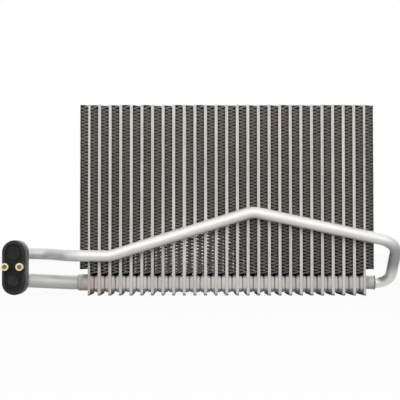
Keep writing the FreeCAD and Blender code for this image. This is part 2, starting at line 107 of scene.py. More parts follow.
# %% Set the camera
PHOTO_WIDTH = 400
FOCAL_PIXELS = 1233.5
SENSOR = 36.0
AHEAD = (187, 245)
CAMERA_PLACE = Vector((CORE_X - 43.7 * MM, -1378.5 * MM, 55.4 * MM))

camera = bpy.data.objects.new("camera", bpy.data.cameras.new("camera"))
scene.collection.objects.link(camera)
camera.data.sensor_width = SENSOR
camera.data.lens = SENSOR * FOCAL_PIXELS / PHOTO_WIDTH
camera.data.shift_x = (PHOTO_WIDTH / 2 - AHEAD[0]) / PHOTO_WIDTH
rise = math.atan((AHEAD[1] - PHOTO_WIDTH / 2) / FOCAL_PIXELS)
camera.location = CAMERA_PLACE
camera.rotation_euler = (math.pi / 2 + rise, 0, 0)
scene.camera = camera
print("lens mm:", round(camera.data.lens, 1))

# %% [markdown]
# ## Nodes in code
# A finish is a tree of nodes, which is drawn by hand in the shader editor. In code one helper does the same:
# it adds a node, sets its options, and fills each input with a constant or with another node's socket.

# %% Write the node helpers


def add_node(tree, kind, inputs=None, **options):
    """Add a node, set its options, and link or set its inputs."""
    node = tree.nodes.new("ShaderNode" + kind)
    for key, value in options.items():
        setattr(node, key, value)
    for key, value in (inputs or {}).items():
        if isinstance(value, bpy.types.NodeSocket):
            tree.links.new(value, node.inputs[key])
        else:
            node.inputs[key].default_value = value
    return node


def new_material(name):
    """Start a node material and return it with its empty tree."""
    material = bpy.data.materials.new(name)
    material.use_nodes = True
    material.node_tree.nodes.clear()
    return material, material.node_tree


print("node helpers are ready")

# %% [markdown]
# ## A pale studio
# A white floor and a white world stand for the photographer's paper. Both are plain white to the camera
# and to reflections, while the object itself is lit by soft lamps. A light path node tells the rays apart.

# %% Lay the white paper
PAPER_SHARE = 0.93
PAPER_COLOUR = (0.8, 0.8, 0.8, 1)
BOUNCE_COLOUR = (0.1, 0.1, 0.1, 1)
FLOOR_SIZE = 12.0
WHITE = (1, 1, 1, 1)
WORLD_LEVEL = 0.3


def paper_rays(tree):
    """A socket that is 1 for the rays that should see plain white paper."""
    path = add_node(tree, "LightPath").outputs
    seen = path["Is Camera Ray"]
    for ray in ("Is Glossy Ray", "Is Transmission Ray"):
        seen = add_node(tree, "Math", {0: seen, 1: path[ray]}, operation="MAXIMUM").outputs[0]
    return seen


bpy.context.scene.view_settings.view_transform = "Standard"
paper, tree = new_material("white paper")
seen = paper_rays(tree)
tone = add_node(tree, "Mix", {"Factor": seen, "A": BOUNCE_COLOUR, "B": PAPER_COLOUR}, data_type="RGBA")
plain = add_node(tree, "BsdfDiffuse", {"Color": tone.outputs["Result"]})
white = add_node(tree, "Emission", {"Strength": 1.0})
share = add_node(tree, "Math", {0: seen, 1: PAPER_SHARE}, operation="MULTIPLY")
mix = add_node(tree, "MixShader", {0: share.outputs[0], 1: plain.outputs[0], 2: white.outputs[0]})
add_node(tree, "OutputMaterial", {"Surface": mix.outputs[0]})
bpy.ops.mesh.primitive_plane_add(size=FLOOR_SIZE)
floor = bpy.context.object
floor.name = "floor"
floor.data.materials.append(paper)
floor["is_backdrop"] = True

world = bpy.data.worlds.new("studio")
scene.world = world
world.use_nodes = True
tree = world.node_tree
tree.nodes.clear()
soft = add_node(tree, "Background", {"Color": WHITE, "Strength": WORLD_LEVEL})
white = add_node(tree, "Background", {"Color": WHITE, "Strength": 1.0})
mix = add_node(tree, "MixShader", {0: paper_rays(tree), 1: soft.outputs[0], 2: white.outputs[0]})
add_node(tree, "OutputWorld", {"Surface": mix.outputs[0]})
print("floor m:", FLOOR_SIZE, "world level:", WORLD_LEVEL)

# %% [markdown]
# ## Five soft lamps
# The photo has no hard shadows. Its plates are brightest on their front edges, and the top of the crossing
# pipe shines. So a large lamp hangs behind the camera, and four weaker ones light the sides, top and back.

# %% Hang the lamps
LAMP_TARGET = Vector((0, 0, 0.1))
# Each lamp: where it hangs and how wide it is, in metres, and its power in watts.
LAMPS = {
    "key": ((0, -2.0, 0.9), 2.2, 26.0),
    "left": ((-1.4, -1.3, 0.6), 1.2, 6.2),
    "right": ((1.3, -1.4, 0.25), 1.2, 7),
    "top": ((0.1, -0.1, 2.1), 2.0, 8),
    "rear": ((0.3, 1.9, 1.2), 2.0, 14),
}


def add_lamp(name, place, size, power):
    """Hang a soft square lamp that faces the core."""
    lamp = bpy.data.objects.new(name, bpy.data.lights.new(name, "AREA"))
    scene.collection.objects.link(lamp)
    lamp.data.size = size
    lamp.data.energy = power
    lamp.location = place
    lamp.rotation_euler = (LAMP_TARGET - Vector(place)).to_track_quat("-Z", "Y").to_euler()


for name, (place, size, power) in LAMPS.items():
    add_lamp(name, place, size, power)
print("lamps:", list(LAMPS))

# %% [markdown]
# ## Helpers for shaping
# Each piece is modelled as by hand: a primitive is added, faces or edges are picked, and an operator shapes
# them. It acts on all that is selected, so the picking is done in code, by place.

# %% Write the helpers that pick and shape
NEAR = 0.01 * MM
SHARP = math.radians(40)


def select_only(*pieces):
    """Select these pieces alone, the last one as the active one."""
    bpy.ops.object.select_all(action="DESELECT")
    for piece in pieces:
        piece.select_set(True)
    bpy.context.view_layer.objects.active = pieces[-1]


def open_mesh(piece):
    """Select one piece alone and open it for editing."""
    select_only(piece)
    bpy.ops.object.mode_set(mode="EDIT")


def pick_all():
    """Select the whole mesh."""
    bpy.ops.mesh.select_all(action="SELECT")


def close_mesh():
    """Point all faces outwards and go back to the object."""
    pick_all()
    bpy.ops.mesh.normals_make_consistent(inside=False)
    bpy.ops.object.mode_set(mode="OBJECT")


def pick(kind, test):
    """Select only the vertices, edges or faces that pass a test."""
    bpy.ops.mesh.select_mode(type=kind)
    bpy.ops.mesh.select_all(action="DESELECT")
    mesh = bmesh.from_edit_mesh(bpy.context.edit_object.data)
    items = {"VERT": mesh.verts, "EDGE": mesh.edges, "FACE": mesh.faces}[kind]
    for item in [item for item in items if test(item)]:
        item.select_set(True)
    mesh.select_flush_mode()
    bmesh.update_edit_mesh(bpy.context.edit_object.data)


def pick_level(kind, axis, level):
    """Select the edges or faces that lie wholly at one level of an axis."""
    pick(kind, lambda item: all(abs(getattr(v.co, axis) - level) < NEAR for v in item.verts))


def slice_at(place, normal):
    """Cut the whole mesh along a plane and keep both sides."""
    pick_all()
    bpy.ops.mesh.bisect(plane_co=place, plane_no=normal)


def merge_near(distance):
    """Merge vertices that lie within a distance."""
    pick_all()
    bpy.ops.mesh.remove_doubles(threshold=distance)


def push(x=0, y=0, z=0):
    """Extrude what is selected by a step."""
    bpy.ops.mesh.extrude_region_move(TRANSFORM_OT_translate={"value": (x, y, z)})


def bevel(offset, segments, clamp=False):
    """Bevel the edges that are selected."""
    bpy.ops.mesh.bevel(offset=offset, segments=segments, affect="EDGES", clamp_overlap=clamp)


def soften(piece, offset):
    """Round every sharp edge a little."""
    open_mesh(piece)
    pick("EDGE", lambda e: e.is_manifold and e.calc_face_angle(0) > SHARP)
    bevel(offset, 2, clamp=True)
    close_mesh()


print("near mm:", NEAR / MM)

# %% [markdown]
# ## Helpers for whole pieces
# A piece starts as a box or a bar, and may be cut or copied. At the end it gets its finish and stands for the
# plain nodes that it covers. The core is stiff, so all pieces ride one body.

# %% Write the helpers for whole pieces


def settle(piece, name, angle=35):
    """Apply the piece's place, name it and smooth its shallow edges."""
    select_only(piece)
    bpy.ops.object.transform_apply()
    bpy.ops.object.shade_smooth_by_angle(angle=math.radians(angle))
    piece.name = name
    piece.data.name = name
    return piece


def add_box(name, low, high):
    """Start a piece as a box between two corners."""
    centre = [(near + far) / 2 for near, far in zip(low, high)]
    size = [far - near for near, far in zip(low, high)]
    bpy.ops.mesh.primitive_cube_add(size=1, location=centre, scale=size)
    return settle(bpy.context.object, name)


def add_bar(x, z, radius, front_y, back_y, sides=48):
    """Start a piece as a bar along Y, round or with a few sides."""
    centre = (x, (front_y + back_y) / 2, z)
    bpy.ops.mesh.primitive_cylinder_add(
        vertices=sides, radius=radius, depth=back_y - front_y, location=centre, rotation=(math.pi / 2, 0, 0))
    return bpy.context.object


def add_modifier(piece, kind, **settings):
    """Give the piece a modifier and apply it at once."""
    select_only(piece)
    modifier = piece.modifiers.new(kind.lower(), kind)
    for key, value in settings.items():
        setattr(modifier, key, value)
    bpy.ops.object.modifier_apply(modifier=modifier.name)


def cut_with(piece, tool, operation="DIFFERENCE"):
    """Cut a piece with a tool or join the two, and throw the tool away."""
    add_modifier(piece, "BOOLEAN", object=tool, operation=operation, solver="EXACT")
    bpy.data.objects.remove(tool)


def copy_piece(source, name, shift=(0, 0, 0)):
    """Copy a piece with its own mesh and move the copy's mesh."""
    piece = source.copy()
    piece.data = source.data.copy()
    piece.name = name
    piece.data.name = name
    piece.data.transform(Matrix.Translation(shift))
    scene.collection.objects.link(piece)
    return piece


def hand_in(piece, nodes, material):
    """Give the piece its finish, and let it stand for its nodes on the one body."""
    piece.data.materials.clear()
    piece.data.materials.append(material)
    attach(piece, "root")
    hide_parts(*nodes)


print("nodes to stand for:", len(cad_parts))

# %% [markdown]
# ## What the finishes are made of
# Brazed aluminium is neither polished nor painted. Flux leaves it pale, a little mottled and fairly matt.
# So each finish is a noise over the object's own coordinates, read through a colour ramp. The same ramp, read
# along one axis, gives a level that follows the place. A socket's id_data is the tree that it belongs to.

# %% Write the pattern helpers


def noise(place, scale, stretch=(1, 1, 1), detail=4.0):
    """A noise over the place, drawn out along an axis where stretch is small."""
    mapping = add_node(place.id_data, "Mapping", {"Vector": place, "Scale": stretch})
    inputs = {"Vector": mapping.outputs["Vector"], "Scale": scale, "Detail": detail}
    return add_node(place.id_data, "TexNoise", inputs).outputs["Fac"]


def ramp(value, stops):
    """A colour that runs through stops, each a value and its colour."""
    node = add_node(value.id_data, "ValToRGB", {"Fac": value})
    elements = node.color_ramp.elements
    while len(elements) < len(stops):
        elements.new(0.5)
    for element, (at, colour) in zip(elements, stops):
        element.position = at
        element.color = (*colour, 1)
    return node.outputs["Color"]


def slope(value, stops):
    """A number that runs through stops, each a place in metres and a level."""
    low, high = stops[0][0], stops[-1][0]
    share = add_node(value.id_data, "MapRange", {"Value": value, "From Min": low, "From Max": high})
    levels = [((at - low) / (high - low), (level, level, level)) for at, level in stops]
    return ramp(share.outputs["Result"], levels)


def inwards(y, stops):
    """A number that follows the depth in millimetres behind the nearer face of the core."""
    front = [(FRONT + inset * MM, level) for inset, level in stops]
    back = [(BACK - inset * MM, level) for inset, level in reversed(stops)]
    return slope(y, front + back)


def axes(place):
    """The three coordinates, each on its own."""
    return list(add_node(place.id_data, "SeparateXYZ", {0: place}).outputs)


print("pattern helpers are ready")

# %% [markdown]
# ## How a finish is put together
# One principled shader takes the colour, the roughness and a bump of very fine grain. The metals of the core
# are only slightly metallic, because their skin of oxide and flux scatters light as paint does.

# %% Write the finish helpers
GRAIN_SCALE = 900
GRAIN_DEPTH = 0.2 * MM


def times(first, second):
    """The product of two colours or numbers."""
    return add_node(first.id_data, "VectorMath", {0: first, 1: second}, operation="MULTIPLY").outputs[0]


def mixed(share, colour, other, blend_type="MIX"):
    """Lay another colour over a colour, as strongly as the share says."""
    inputs = {"Factor": share, "A": colour, "B": (*other, 1)}
    return add_node(share.id_data, "Mix", inputs, data_type="RGBA", blend_type=blend_type).outputs["Result"]


def tinted(colour, tint, share):
    """Multiply a colour by a tint, as strongly as the share says."""
    return mixed(share, colour, tint, "MULTIPLY")


def spread(value, low, high):
    """Let a value from 0 to 1 run from low to high."""
    inputs = {"Value": value, "To Min": low, "To Max": high}
    return add_node(value.id_data, "MapRange", inputs).outputs["Result"]


def relief(height, strength, depth):
    """A bump from a height."""
    node = add_node(height.id_data, "Bump", {"Height": height, "Strength": strength, "Distance": depth})
    return node.outputs["Normal"]


def start_finish(name):
    """Start a finish, and return its material, its tree and the place on the object."""
    material, tree = new_material(name)
    return material, tree, add_node(tree, "TexCoord").outputs["Object"]


def close_finish(tree, inputs):
    """End a finish with a principled shader."""
    shader = add_node(tree, "BsdfPrincipled", inputs)
    add_node(tree, "OutputMaterial", {"Surface": shader.outputs[0]})


def metal(name, dark, light, metallic, rough, scale, stretch=(1, 1, 1), bump=0.05, gloss=0.3, tint=None):
    """A metal whose colour and roughness wander. A gloss or tint that follows the place is a function."""
    material, tree, place = start_finish(name)
    colour = ramp(noise(place, scale, stretch), [(0.3, dark), (0.7, light)])
    close_finish(tree, {
        "Base Color": tint(place, colour) if tint else colour,
        "Metallic": metallic,
        "Specular IOR Level": gloss(place) if callable(gloss) else gloss,
        "Roughness": spread(noise(place, scale * 3, stretch), *rough),
        "Normal": relief(noise(place, GRAIN_SCALE, stretch, 6.0), bump, GRAIN_DEPTH),
    })
    return material


print("grain depth mm:", GRAIN_DEPTH / MM)

# %% [markdown]
# ## The plates' metal
# The front edges of the plates are pale. The torch that brazed the left collar has warmed the metal near it.
# The rest is painted shade: the tips of the feet are greyed, and the metal under the cups, the cups behind
# the plates' edges, the right-hand cups, the lower part and the plates deep between the fins are darkened.
# All that depends on the place, so each is a tint whose strength follows a slope.

# %% Mix the plates' metal
TORCHED = (0.86, 0.78, 0.71)
# Painted shade that greys the tips of the plates' feet.
PAINTED_TIP_SHADE = (0.36, 0.36, 0.37)
# Painted shade under the cups, behind the plates' front edges.
PAINTED_UNDER_CUP_SHADE = (0.05, 0.045, 0.04)
# Painted shade on the cups, behind the plates' front edges.
PAINTED_CUP_SHADE = (0.96, 0.955, 0.95)
# Painted shade on the cups of the right-hand half.
PAINTED_RIGHT_CUP_SHADE = (0.86, 0.855, 0.85)
# Painted shade on the lower part of the core, fading out towards 0.2 m.
PAINTED_LOWER_SHADE = (0.93, 0.93, 0.93)
# Painted shade on the plates deep between the fins.
PAINTED_INNER_SHADE = (0.2, 0.195, 0.19)


def plate_tint(place, colour):
    """Warm near the torch, with painted shade on the feet's tips, the cups, the lower part, below the cups
    and between the fins.
    """
    x, y, z = axes(place)
    near_torch = slope(x, [
        (TUBE_X[0] - 16 * MM, 1), (TUBE_X[0] + 0.5 * PITCH, 0.8), (TUBE_X[0] + 4 * PITCH, 0)])
    at_header = slope(z, [(20 * MM, 1), (34 * MM, 0)])
    tips = slope(z, [(0, 1), (0.8 * MM, 1), (3 * MM, 0)])
    below_cups = slope(z, [(0, 1), (1.8 * MM, 1), (2.4 * MM, 0.5), (6.5 * MM, 0.5), (8.8 * MM, 0)])
    behind_edges = inwards(y, [(0.8, 0), (2.2, 1)])
    cups = times(behind_edges, slope(z, [(0, 1), (24 * MM, 1), (26 * MM, 0)]))
    rightmost = slope(x, [(TUBE_X[13], 0), (TUBE_X[24], 1), (TUBE_X[26], 1)])
    fin_rows = slope(z, [(22 * MM, 0), (25 * MM, 1), (208 * MM, 1), (209.6 * MM, 0)])
    # Every layer except the torch's warmth is painted shade.
    layers = [
        (TORCHED, times(near_torch, at_header)),
        (PAINTED_TIP_SHADE, tips),
        (PAINTED_UNDER_CUP_SHADE, times(below_cups, behind_edges)),
        (PAINTED_CUP_SHADE, cups),
        (PAINTED_RIGHT_CUP_SHADE, times(cups, rightmost)),
        (PAINTED_LOWER_SHADE, slope(z, [(0, 1), (0.12, 1), (0.205, 0)])),
        (PAINTED_INNER_SHADE, times(fin_rows, inwards(y, [(0, 0), (0.9, 0), (3, 1)]))),
    ]
    for tint, share in layers:
        colour = tinted(colour, tint, share)
    return colour


def plate_gloss(place):
    """Little gloss on the feet and deep inside the core."""
    x, y, z = axes(place)
    up = slope(z, [(0, 0.02), (1.8 * MM, 0.02), (3 * MM, 0.17), (12 * MM, 0.3)])
    return times(up, inwards(y, [(0, 1), (4.8, 1), (16, 0.1)]))


PLATE_METAL = metal("brazed plate", (0.66, 0.635, 0.615), (0.82, 0.80, 0.775), 0.1, (0.42, 0.6), 60,
                    (1, 1, 0.3), 0.12, gloss=plate_gloss, tint=plate_tint)
print(PLATE_METAL.name, "has nodes:", len(PLATE_METAL.node_tree.nodes))

# %% [markdown]
# ## The fins' metal
# The fins' colour is set darker than the plates', as painted shade of their narrow channels, and each has a
# slightly other tone. Their crests are pale where braze joins them to a tube. Painted shade darkens their
# lower part, and darkens them strongly a few millimetres behind the front, where hardly any light reaches
# them;
# their gloss ends there too.

# %% Mix the fins' metal
CREST_BRAZE = (0.65, 0.63, 0.6)
# Painted shade on the lower part of the fins.
PAINTED_LOWER_FIN_SHADE = (0.85, 0.85, 0.85)
FIN_TONES = [(0.35, (1.0, 0.94, 0.89)), (0.5, (1.0, 0.96, 0.92)), (0.65, (0.97, 0.98, 0.91))]


def fin_tint(place, colour):
    """Each fin of a slightly other tone, with painted shade on its lower part and deeper inside, and pale
    where braze joins a tube.
    """
    x, y, z = axes(place)
    start = add_node(place.id_data, "Math", {0: x, 1: TUBE_X[0] - PITCH}, operation="SUBTRACT")
    from_tube = add_node(place.id_data, "Math", {0: start.outputs[0], 1: PITCH / 2}, operation="PINGPONG")
    braze = slope(from_tube.outputs[0], [(0, 1), (1.75 * MM, 1), (2.45 * MM, 0), (3 * MM, 0)])
    tones = ramp(noise(place, 70, (1, 0.02, 0.03), 1.0), FIN_TONES)
    colour = times(colour, tones)
    colour = tinted(colour, PAINTED_LOWER_FIN_SHADE, slope(z, [(0, 1), (0.11, 1), (0.205, 0)]))
    pale = mixed(braze, colour, CREST_BRAZE)
    # Painted shade: the colour falls to 0.09 within 5.2 mm behind the nearer face.
    return times(pale, inwards(y, [(0, 1), (1.56, 1), (5.2, 0.09)]))


def fin_gloss(place):
    """Some gloss on the fins' cut edges, and nearly none behind them."""
    x, y, z = axes(place)
    return inwards(y, [(0, 0.3), (1.5, 0.3), (4.5, 0.02)])


# Painted shade: the fins' colour is set darker than the plates', for their narrow channels.
FIN_METAL = metal("folded fin", (0.315, 0.3, 0.287), (0.425, 0.406, 0.388), 0.12, (0.5, 0.7), 120,
                  gloss=fin_gloss, tint=fin_tint)
print(FIN_METAL.name, "has nodes:", len(FIN_METAL.node_tree.nodes))

# %% [markdown]
# ## The other metals
# The block is milled and dull, and its colour is set dark as painted shade of its shadowed side. The collars
# are warm and patchy from the torch, with darker beads of braze.
# The side sheets show only their edges, which look nearly as dark as the fins.

# %% Mix the other metals
# Painted shade: the block's colour is set dark for its shadowed side.
BLOCK_METAL = metal("machined block", (0.145, 0.14, 0.136), (0.225, 0.22, 0.215), 0.05, (0.5, 0.65), 140,
                    (1, 0.2, 1), gloss=0.08)
COLLAR_METAL = metal("torched collar", (0.64, 0.6, 0.55), (0.98, 0.95, 0.9), 0.1, (0.4, 0.6), 160, bump=0.2)
BRAZE_METAL = metal("set braze", (0.26, 0.24, 0.22), (0.5, 0.47, 0.44), 0.1, (0.5, 0.7), 500, bump=0.3)
SHEET_METAL = metal("side sheet", (0.145, 0.14, 0.136), (0.225, 0.22, 0.212), 0.12, (0.42, 0.6), 240,
                    (1, 1, 0.6), 0.1)
print("metals:", [m.name for m in (BLOCK_METAL, COLLAR_METAL, BRAZE_METAL, SHEET_METAL)])

# %% [markdown]
# ## Drawn tube
# A drawn pipe has faint streaks that follow its run through every bend. So the bender gives each vertex its
# place on the straightened pipe, and the finish reads that. Painted shade darkens the pipe left of the core,
# a painted dark reflection darkens the right turn's bend, and the turn's foot is made more metallic as a
# painted highlight.

# %% Mix the drawn pipe's finish
STREAK_COLOURS = [(0.3, (0.745, 0.735, 0.71)), (0.7, (0.84, 0.83, 0.805))]
# Painted shade on the pipe left of the core.
PAINTED_END_SHADE = 0.86
# Painted dark reflection of the core on the right turn's bend.
PAINTED_TURN_REFLECTION = (0.6, 0.6, 0.6)
# The higher metallic is a painted highlight on the right turn's foot.
DRAWN_SHINE, PAINTED_FOOT_SHINE = 0.34, 0.75

PIPE_METAL, tree, place = start_finish("drawn pipe")
x, y, z = axes(place)
along = add_node(tree, "Attribute", attribute_name="straightened").outputs["Vector"]
streaks = ramp(noise(along, 420, (0.08, 1, 1), 6.0), STREAK_COLOURS)
# Painted shade left of the core, fading in over 8 mm.
shaded_ends = add_node(tree, "MapRange", {
    "Value": x, "From Min": TUBE_X[0] - 14 * MM, "From Max": TUBE_X[0] - 6 * MM, "To Min": PAINTED_END_SHADE,
}, interpolation_type="SMOOTHSTEP").outputs["Result"]
turn = slope(x, [(0.19, 0), (0.2, 1), (0.22, 1)])
# Painted dark reflection on the turn's bend.
dark_turn_reflection = times(turn, slope(z, [(0.023, 0), (0.034, 1), (0.05, 1), (0.062, 0)]))
# Painted highlight: the turn's foot is made more metallic.
foot_highlight = times(turn, slope(z, [(0.018, 1), (0.032, 0)]))
close_finish(tree, {
    "Base Color": tinted(times(streaks, shaded_ends), PAINTED_TURN_REFLECTION, dark_turn_reflection),
    "Metallic": spread(foot_highlight, DRAWN_SHINE, PAINTED_FOOT_SHINE),
    "Roughness": spread(noise(along, 120, (0.2, 1, 1)), 0.42, 0.58),
    "Normal": relief(noise(along, 1500, (0.02, 1, 1)), 0.08, 0.1 * MM),
})
print(PIPE_METAL.name, "has nodes:", len(PIPE_METAL.node_tree.nodes))

# %% [markdown]
# ## Yellow zinc
# The two screws are plated with pale yellow zinc, and painted shade darkens their key sockets. A number on
# each face says how much painted shade it gets, so one finish does for the whole screw.

# %% Mix the screws' yellow zinc
ZINC_COLOURS = [(0.3, (0.48, 0.4, 0.24)), (0.7, (0.72, 0.62, 0.42))]
# Painted shade inside the key sockets.
PAINTED_SOCKET_SHADE = (0.16, 0.13, 0.07)

SCREW_METAL, tree, place = start_finish("yellow zinc")
socket = add_node(tree, "Attribute", attribute_name="socket").outputs["Fac"]
close_finish(tree, {
    "Base Color": mixed(socket, ramp(noise(place, 300), ZINC_COLOURS), PAINTED_SOCKET_SHADE),
    "Metallic": 0.7,
    "Roughness": spread(noise(place, 700), 0.28, 0.45),
})
print("made", SCREW_METAL.name)

# %% [markdown]
# ## Black plastic
# The cap is moulded in black plastic. Its colour also follows the depth behind the cap's front: painted shade
# darkens the floor of its recess, and its rim stays paler as a painted highlight.

# %% Mix the black plastic
SCUFF_COLOURS = [(0.4, (0.02, 0.019, 0.0185)), (0.75, (0.042, 0.04, 0.038))]
# Painted shade: how pale the cap is at a depth behind its front, in millimetres, darkest in the recess.
PAINTED_RECESS_SHADE = [(0, 1.0), (0.9, 0.9), (2.2, 0.35), (8, 0.4)]

CAP_PLASTIC, tree, place = start_finish("black cap")
x, y, z = axes(place)
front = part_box("transport_cap")[0].y
# Painted shade deeper in the recess; the rim keeps the paler colour as a painted highlight.
recess_shade = slope(y, [(front + inset * MM, level) for inset, level in PAINTED_RECESS_SHADE])
close_finish(tree, {
    "Base Color": times(ramp(noise(place, 160), SCUFF_COLOURS), recess_shade),
    "Specular IOR Level": 0.15,
    "Roughness": spread(noise(place, 400), 0.38, 0.55),
    "Normal": relief(noise(place, 2500), 0.1, 0.1 * MM),
})
print("made", CAP_PLASTIC.name)

# %% [markdown]
# ## One half of a plate tube
# A tube is two pressed plates brazed rim to rim, and each plate has two drawn cups at its foot. So the
# half is modelled once: a block whose outer edges are rounded, with a small chamfer where the two rims
# meet. Its inner face is taken away, because the other half closes it.

# %% Model a half plate
RIM_ROUND = 0.7 * MM
SKIN_ROUND = 0.4 * MM
SEAM_CHAMFER = 0.3 * MM


def make_half(thickness, rim):
    """Half a tube, from the seam at x = 0 out to its flat face, open at the seam."""
    half = add_box("half", (0, FRONT, FOOT), (thickness, BACK, TOP))
    open_mesh(half)
    pick_level("EDGE", "x", thickness)
    bevel(rim, 3)
    pick_level("EDGE", "x", 0)
    bevel(SEAM_CHAMFER, 1)
    pick_level("FACE", "x", 0)
    bpy.ops.mesh.delete(type="FACE")
    bpy.ops.object.mode_set(mode="OBJECT")
    return half


plain_half = make_half(PLATE / 2, RIM_ROUND)
print("half plate faces:", len(plain_half.data.polygons))

# %% [markdown]
# ## The drawn cups
# Each cup starts as a rounded rectangle and is pulled out in steps: a flare at its root, a nearly upright
# wall, and a rounded lip. Two lips meet half way between two tubes and leave a dark seam. The outline shrinks
# about a place below its middle, so the underside stays low, as in the photo.

# %% Model the cups
CUP_LOW = 3.2 * MM
CUP_HEIGHT = 19.0 * MM
CUP_INSET = 1.8 * MM
CUP_ROW_GAP = 4.0 * MM
CUP_DEPTH = (BACK - FRONT - CUP_ROW_GAP) / 2 - CUP_INSET
CUP_CORNER = 5.0 * MM
CUP_Z = CUP_LOW + CUP_HEIGHT / 2
CUP_HEART_Z = CUP_LOW + 0.375 * CUP_HEIGHT
CUP_ROOT_X = 1.2 * MM
FRONT_ROW_Y = FRONT + CUP_INSET + CUP_DEPTH / 2
REAR_ROW_Y = BACK - CUP_INSET - CUP_DEPTH / 2
# Each step of the drawing, in millimetres: how far out it goes and how much the outline shrinks at its sides.
CUP_STEPS = [(0.5, 0.0), (0.25, 0.3), (0.4, 0.2), (1.2, 0.1), (0.9, 0.2), (0.55, 0.4), (0.4, 0.6),
             (0.27, 0.8), (0.15, 0.9)]
# What a cup loses of its depth and of its height for each millimetre that it shrinks at its sides.
DEPTH_LOSS, HEIGHT_LOSS = 2 * MM, 1.6 * MM


def add_cup(row_y):
    """Draw one cup out of a rounded rectangle, towards +X."""
    centre = (CUP_ROOT_X, row_y, CUP_Z)
    bpy.ops.mesh.primitive_plane_add(size=1, location=centre, rotation=(0, math.pi / 2, 0))
    cup = bpy.context.object
    bpy.ops.object.transform_apply()
    open_mesh(cup)
    pick_all()
    bpy.ops.transform.resize(value=(1, CUP_DEPTH, CUP_HEIGHT), center_override=centre)
    bpy.ops.mesh.bevel(offset=CUP_CORNER, segments=6, affect="VERTICES")
    x, depth, height = CUP_ROOT_X, CUP_DEPTH, CUP_HEIGHT
    for step, shrink in CUP_STEPS:
        push(x=step * MM)
        x += step * MM
        slimmer = 1, (depth - DEPTH_LOSS * shrink) / depth, (height - HEIGHT_LOSS * shrink) / height
        bpy.ops.transform.resize(value=slimmer, center_override=(x, row_y, CUP_HEART_Z))
        depth, height = depth * slimmer[1], height * slimmer[2]
    close_mesh()
    return cup


cupped_half = plain_half
for row_y in (FRONT_ROW_Y, REAR_ROW_Y):
    select_only(add_cup(row_y), cupped_half)
    bpy.ops.object.join()
reach = CUP_ROOT_X + sum(step for step, shrink in CUP_STEPS) * MM
print("cup reach mm:", reach / MM, "half pitch mm:", PITCH / 2 / MM)

# %% [markdown]
# ## Two halves make a tube
# The second plate of a tube is the same pressing, turned round. So the half is copied, mirrored over the
# seam and joined to the first one, and the vertices of the two rims are merged. A mirror turns a mesh inside
# out, so its faces are flipped. The two end tubes have a flat plate on their outer side.

# %% Join the halves and stand the tubes in their row


def join_halves(right, left, name):
    """Mirror the left half, join it to the right one and merge their rims."""
    flipped = copy_piece(left, "flipped")
    flipped.data.transform(Matrix.Scale(-1, 4, (1, 0, 0)))
    flipped.data.flip_normals()
    tube = copy_piece(right, name)
    select_only(flipped, tube)
    bpy.ops.object.join()
    open_mesh(tube)
    merge_near(NEAR)
    close_mesh()
    return settle(tube, name)


inner_tube = join_halves(cupped_half, cupped_half, "inner_tube")
skin_half = make_half(END_SKIN, SKIN_ROUND)
left_end = join_halves(cupped_half, skin_half, "left_end")
right_end = join_halves(skin_half, cupped_half, "right_end")
for i, x in enumerate(TUBE_X):
    source = {0: left_end, TUBES - 1: right_end}.get(i, inner_tube)
    node = "tube_%02d" % (i + 1)
    tube = copy_piece(source, "plate_" + node, (x, 0, 0))
    hand_in(tube, [node], PLATE_METAL)
print("tubes:", TUBES, "faces each:", len(inner_tube.data.polygons))

# %% [markdown]
# ## The folded fins
# A fin is one thin sheet, folded to and fro between two tubes. Its legs are slit and twisted into louvers, so
# the core looks nearly closed from in front, with dark spots only at the tube walls. One wave is made from a
# plane by an extrude, its louver edges are lifted and lowered, an array repeats it, and a solidify gives the
# sheet its thickness.

# %% Fold one fin
WAVE = 3.7 * MM
FIN_SHEET = 0.22 * MM
FIN_REACH = AIR_GAP / 2 - 0.05 * MM
FIN_INSET = 0.1 * MM
LOUVER_LIFT = 0.7 * MM
LOUVER_EDGE = 2.8 * MM
CREST_FLAT = 0.3 * MM
# Edges of the louvers: distance from the nearer face of the core in mm, and whether the edge is raised.
LOUVER_ROWS = [(0.8, -1), (2.2, 1), (2.45, -1), (3.85, 1), (4.1, -1), (5.5, 1), (30.4, 1), (31.2, 1)]


def fold_wave(low, wave):
    """Fold one wave of a fin from a plane, with its louvers, and stay at its open mesh."""
    bpy.ops.mesh.primitive_plane_add(size=1, location=(0, MIDDLE_Y, low))
    fin = bpy.context.object
    bpy.ops.object.transform_apply()
    open_mesh(fin)
    pick_all()
    size = (2 * FIN_REACH, BACK - FRONT - 2 * FIN_INSET, 1)
    bpy.ops.transform.resize(value=size, center_override=(0, MIDDLE_Y, low))
    pick("VERT", lambda v: v.co.x > 0)
    bpy.ops.transform.translate(value=(0, 0, wave / 2))
    pick("EDGE", lambda e: e.verts[0].co.x > 0 and e.verts[1].co.x > 0)
    push(x=-2 * FIN_REACH, z=wave / 2)
    for x in (-LOUVER_EDGE, LOUVER_EDGE):
        slice_at((x, 0, 0), (1, 0, 0))
    for inset, raised in LOUVER_ROWS:
        for y in (FRONT + inset * MM, BACK - inset * MM):
            slice_at((0, y, 0), (0, 1, 0))
            pick("VERT", lambda v: abs(v.co.y - y) < NEAR and abs(v.co.x) < LOUVER_EDGE + NEAR)
            bpy.ops.transform.translate(value=(0, 0, raised * LOUVER_LIFT))
    bpy.ops.object.mode_set(mode="OBJECT")
    return fin


